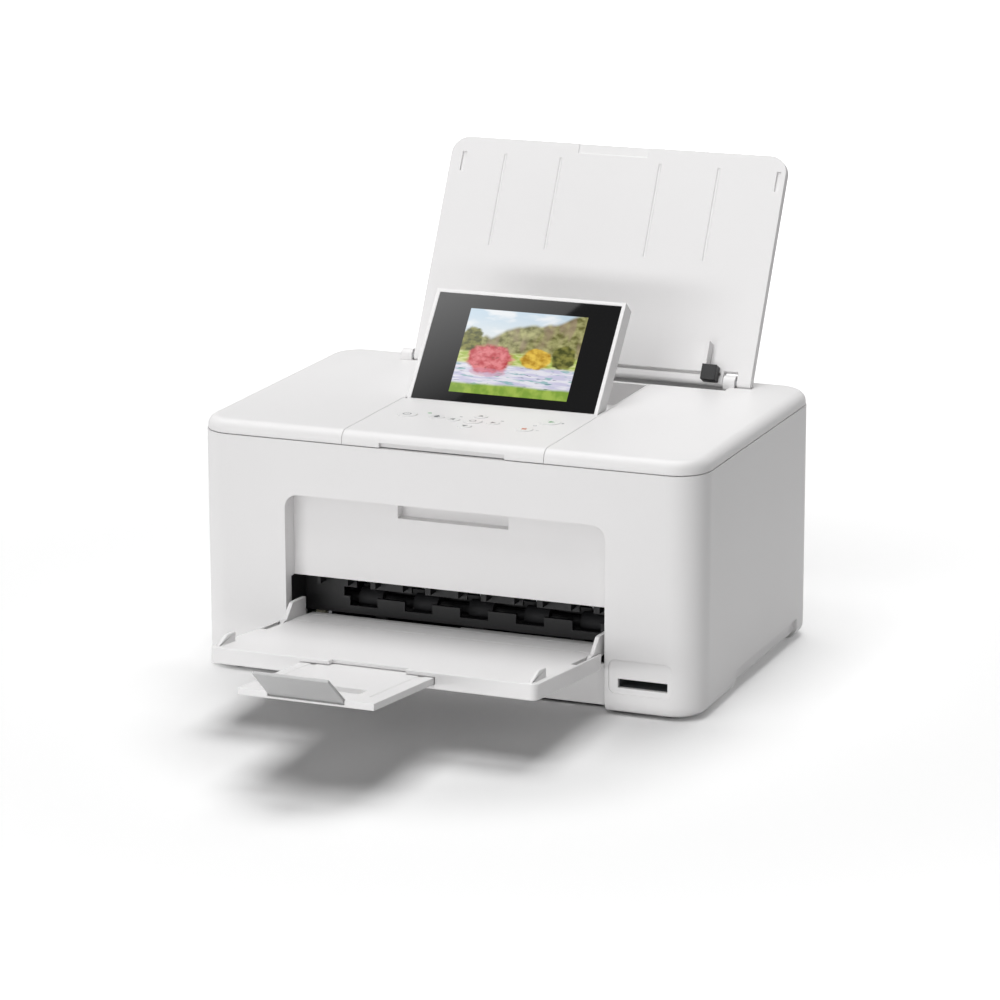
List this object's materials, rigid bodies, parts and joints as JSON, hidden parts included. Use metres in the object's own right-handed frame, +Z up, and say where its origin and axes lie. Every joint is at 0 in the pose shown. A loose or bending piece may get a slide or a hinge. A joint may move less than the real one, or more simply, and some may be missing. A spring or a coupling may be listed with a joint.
{
  "type": "compact photo printer",
  "caption": "Compact desktop photo printer with a tilting display, a folding rear paper support and a drop-down front tray with a pull-out extension.",
  "frame": {"origin": "middle of the body's footprint, in the plane that the four feet stand on", "axes": "+Z up, the front with the tray faces -Y, +X to the right as seen from the front"},
  "size_m": [0.249, 0.3698, 0.2254],
  "materials": {
    "case_white": "matt",
    "key_white": "satin",
    "pan_grey": "matt",
    "black_plastic": "satin",
    "foot_rubber": "matt",
    "roller_rubber": "matt",
    "belt_rubber": "matt",
    "steel": "satin",
    "motor_steel": "satin",
    "pulley_alloy": "satin",
    "pinion_brass": "satin",
    "gear_ivory": "matt",
    "head_grey": "matt",
    "board_green": "satin",
    "lamp_green": "gloss",
    "lens_black": "gloss",
    "screen": "satin"
  },
  "bodies": {
    "printer": {"housing": "case_white", "base_pan": "pan_grey", "rubber_feet": "foot_rubber", "case_screws": "steel", "top_cover": "case_white", "control_panel": "case_white", "recess_frame": "case_white", "exit_ledge": "case_white", "exit_guide": "black_plastic", "card_reader": "pan_grey", "power_inlet": "black_plastic", "usb_port": "steel", "feed_throat": "case_white", "feed_guide": "pan_grey", "status_lamp": "lamp_green", "side_frames": "steel", "platen": "black_plastic", "roller_holders": "black_plastic", "feed_motor": "motor_steel", "guide_rod": "steel", "timing_belt": "belt_rubber", "carriage_motor": "motor_steel", "cartridge_bay": "pan_grey", "ink_cartridge": "black_plastic", "main_board": "board_green"},
    "lift_arms": {"lift_arms": "case_white"},
    "front_tray": {"front_tray": "case_white", "tray_pins": "steel"},
    "tray_extension": {"tray_extension": "case_white"},
    "stopper": {"stopper": "case_white"},
    "display": {"display_case": "case_white", "display_glass": "lens_black", "display_panel": "screen"},
    "paper_support": {"paper_support": "case_white", "support_pins": "steel", "edge_stop": "black_plastic"},
    "edge_guide": {"edge_guide": "black_plastic"},
    "rear_door": {"rear_door": "case_white"},
    "carriage": {"carriage": "black_plastic", "print_head": "head_grey"},
    "drive_pulley": {"drive_pulley": "pulley_alloy"},
    "idle_pulley": {"idle_pulley": "pulley_alloy"},
    "line_roller": {"line_roller": "roller_rubber"},
    "pinch_rollers": {"pinch_rollers": "gear_ivory"},
    "exit_roller": {"exit_roller": "roller_rubber"},
    "star_wheels": {"star_wheels": "steel"},
    "pick_roller": {"pick_roller": "roller_rubber"},
    "exit_idler": {"exit_idler": "gear_ivory"},
    "feed_idler_low": {"feed_idler_low": "gear_ivory"},
    "feed_idler_high": {"feed_idler_high": "gear_ivory"},
    "motor_pinion": {"motor_pinion": "pinion_brass"},
    "key_power": {"key_power": "key_white"},
    "key_home": {"key_home": "key_white"},
    "key_up": {"key_up": "key_white"},
    "key_down": {"key_down": "key_white"},
    "key_left": {"key_left": "key_white"},
    "key_right": {"key_right": "key_white"},
    "key_ok": {"key_ok": "key_white"},
    "key_start": {"key_start": "key_white"},
    "key_stop": {"key_stop": "key_white"}
  },
  "joints": [
    {"name": "front_tray_hinge", "type": "hinge", "parent": "lift_arms", "child": "front_tray", "pos_m": [0, -0.09379, 0.02833], "axis": [-1, 0, 0], "range_deg": [0, 134]},
    {"name": "lift_arm_hinge", "type": "hinge", "parent": "printer", "child": "lift_arms", "pos_m": [0, -0.07351, 0.03236], "axis": [1, 0, 0], "range_deg": [0, 55.4]},
    {"name": "tray_extension_slide", "type": "slide", "parent": "front_tray", "child": "tray_extension", "axis": [0, -0.9942, 0.108], "range_m": [-0.063, 0]},
    {"name": "stopper_hinge", "type": "hinge", "parent": "tray_extension", "child": "stopper", "pos_m": [-0.0015, -0.22944, 0.04176], "axis": [-1, 0, 0], "range_deg": [0, 145.5]},
    {"name": "display_hinge", "type": "hinge", "parent": "printer", "child": "display", "pos_m": [0, -0.0094, 0.1184], "axis": [1, 0, 0], "range_deg": [-50, 10]},
    {"name": "paper_support_hinge", "type": "hinge", "parent": "printer", "child": "paper_support", "pos_m": [0.01, 0.06739, 0.12329], "axis": [1, 0, 0], "range_deg": [0, 53]},
    {"name": "edge_guide_slide", "type": "slide", "parent": "paper_support", "child": "edge_guide", "axis": [1, 0, 0], "range_m": [-0.038, 0]},
    {"name": "rear_door_hinge", "type": "hinge", "parent": "printer", "child": "rear_door", "pos_m": [0.056, 0.0822, 0.0157], "axis": [-1, 0, 0], "range_deg": [0, 95]},
    {"name": "carriage_slide", "type": "slide", "parent": "printer", "child": "carriage", "axis": [1, 0, 0], "range_m": [-0.061, 0.061]},
    {"name": "drive_pulley_spin", "type": "hinge", "parent": "printer", "child": "drive_pulley", "pos_m": [0.098, 0.01, 0.086], "axis": [0, 1, 0], "range_deg": [-540, 540]},
    {"name": "idle_pulley_spin", "type": "hinge", "parent": "printer", "child": "idle_pulley", "pos_m": [-0.058, 0.01, 0.086], "axis": [0, 1, 0], "range_deg": [-540, 540]},
    {"name": "line_roller_spin", "type": "hinge", "parent": "printer", "child": "line_roller", "pos_m": [0.02, 0.002, 0.0316], "axis": [1, 0, 0], "continuous": true},
    {"name": "pinch_rollers_spin", "type": "hinge", "parent": "printer", "child": "pinch_rollers", "pos_m": [0, 0.003, 0.0414], "axis": [1, 0, 0], "continuous": true},
    {"name": "exit_roller_spin", "type": "hinge", "parent": "printer", "child": "exit_roller", "pos_m": [0.02, -0.0478, 0.0322], "axis": [1, 0, 0], "continuous": true},
    {"name": "star_wheels_spin", "type": "hinge", "parent": "printer", "child": "star_wheels", "pos_m": [0, -0.0478, 0.0415], "axis": [1, 0, 0], "continuous": true},
    {"name": "pick_roller_spin", "type": "hinge", "parent": "printer", "child": "pick_roller", "pos_m": [0.02, 0.0403, 0.0835], "axis": [1, 0, 0], "continuous": true},
    {"name": "exit_idler_spin", "type": "hinge", "parent": "printer", "child": "exit_idler", "pos_m": [-0.0745, -0.02386, 0.04234], "axis": [1, 0, 0], "continuous": true},
    {"name": "feed_idler_low_spin", "type": "hinge", "parent": "printer", "child": "feed_idler_low", "pos_m": [-0.0745, 0.01524, 0.04917], "axis": [1, 0, 0], "continuous": true},
    {"name": "feed_idler_high_spin", "type": "hinge", "parent": "printer", "child": "feed_idler_high", "pos_m": [-0.0745, 0.02897, 0.06372], "axis": [1, 0, 0], "continuous": true},
    {"name": "motor_pinion_spin", "type": "hinge", "parent": "printer", "child": "motor_pinion", "pos_m": [-0.0745, 0.02004, 0.02503], "axis": [1, 0, 0], "continuous": true},
    {"name": "key_power_press", "type": "slide", "parent": "printer", "child": "key_power", "axis": [0, 0, -1], "range_m": [0, 0.0006], "stiffness_N_per_m": 250, "springref_m": -0.0012},
    {"name": "key_home_press", "type": "slide", "parent": "printer", "child": "key_home", "axis": [0, 0, -1], "range_m": [0, 0.0006], "stiffness_N_per_m": 250, "springref_m": -0.0012},
    {"name": "key_up_press", "type": "slide", "parent": "printer", "child": "key_up", "axis": [0, 0, -1], "range_m": [0, 0.0006], "stiffness_N_per_m": 250, "springref_m": -0.0012},
    {"name": "key_down_press", "type": "slide", "parent": "printer", "child": "key_down", "axis": [0, 0, -1], "range_m": [0, 0.0006], "stiffness_N_per_m": 250, "springref_m": -0.0012},
    {"name": "key_left_press", "type": "slide", "parent": "printer", "child": "key_left", "axis": [0, 0, -1], "range_m": [0, 0.0006], "stiffness_N_per_m": 250, "springref_m": -0.0012},
    {"name": "key_right_press", "type": "slide", "parent": "printer", "child": "key_right", "axis": [0, 0, -1], "range_m": [0, 0.0006], "stiffness_N_per_m": 250, "springref_m": -0.0012},
    {"name": "key_ok_press", "type": "slide", "parent": "printer", "child": "key_ok", "axis": [0, 0, -1], "range_m": [0, 0.0006], "stiffness_N_per_m": 250, "springref_m": -0.0012},
    {"name": "key_start_press", "type": "slide", "parent": "printer", "child": "key_start", "axis": [0, 0, -1], "range_m": [0, 0.0006], "stiffness_N_per_m": 250, "springref_m": -0.0012},
    {"name": "key_stop_press", "type": "slide", "parent": "printer", "child": "key_stop", "axis": [0, 0, -1], "range_m": [0, 0.0006], "stiffness_N_per_m": 250, "springref_m": -0.0012}
  ],
  "couplings": [
    {"joint": "lift_arm_hinge", "follows": "front_tray_hinge", "ratio": 0.41318},
    {"joint": "drive_pulley_spin", "follows": "carriage_slide", "rad_per_m": -152.67},
    {"joint": "idle_pulley_spin", "follows": "carriage_slide", "rad_per_m": -152.67},
    {"joint": "pinch_rollers_spin", "follows": "line_roller_spin", "ratio": -1.7143},
    {"joint": "exit_roller_spin", "follows": "line_roller_spin", "ratio": 1.2},
    {"joint": "star_wheels_spin", "follows": "line_roller_spin", "ratio": -1.5},
    {"joint": "pick_roller_spin", "follows": "line_roller_spin", "ratio": -0.9375},
    {"joint": "exit_idler_spin", "follows": "line_roller_spin", "ratio": -0.75},
    {"joint": "feed_idler_low_spin", "follows": "line_roller_spin", "ratio": -1.2},
    {"joint": "feed_idler_high_spin", "follows": "line_roller_spin", "ratio": 1.2},
    {"joint": "motor_pinion_spin", "follows": "line_roller_spin", "ratio": -1.6667}
  ]
}
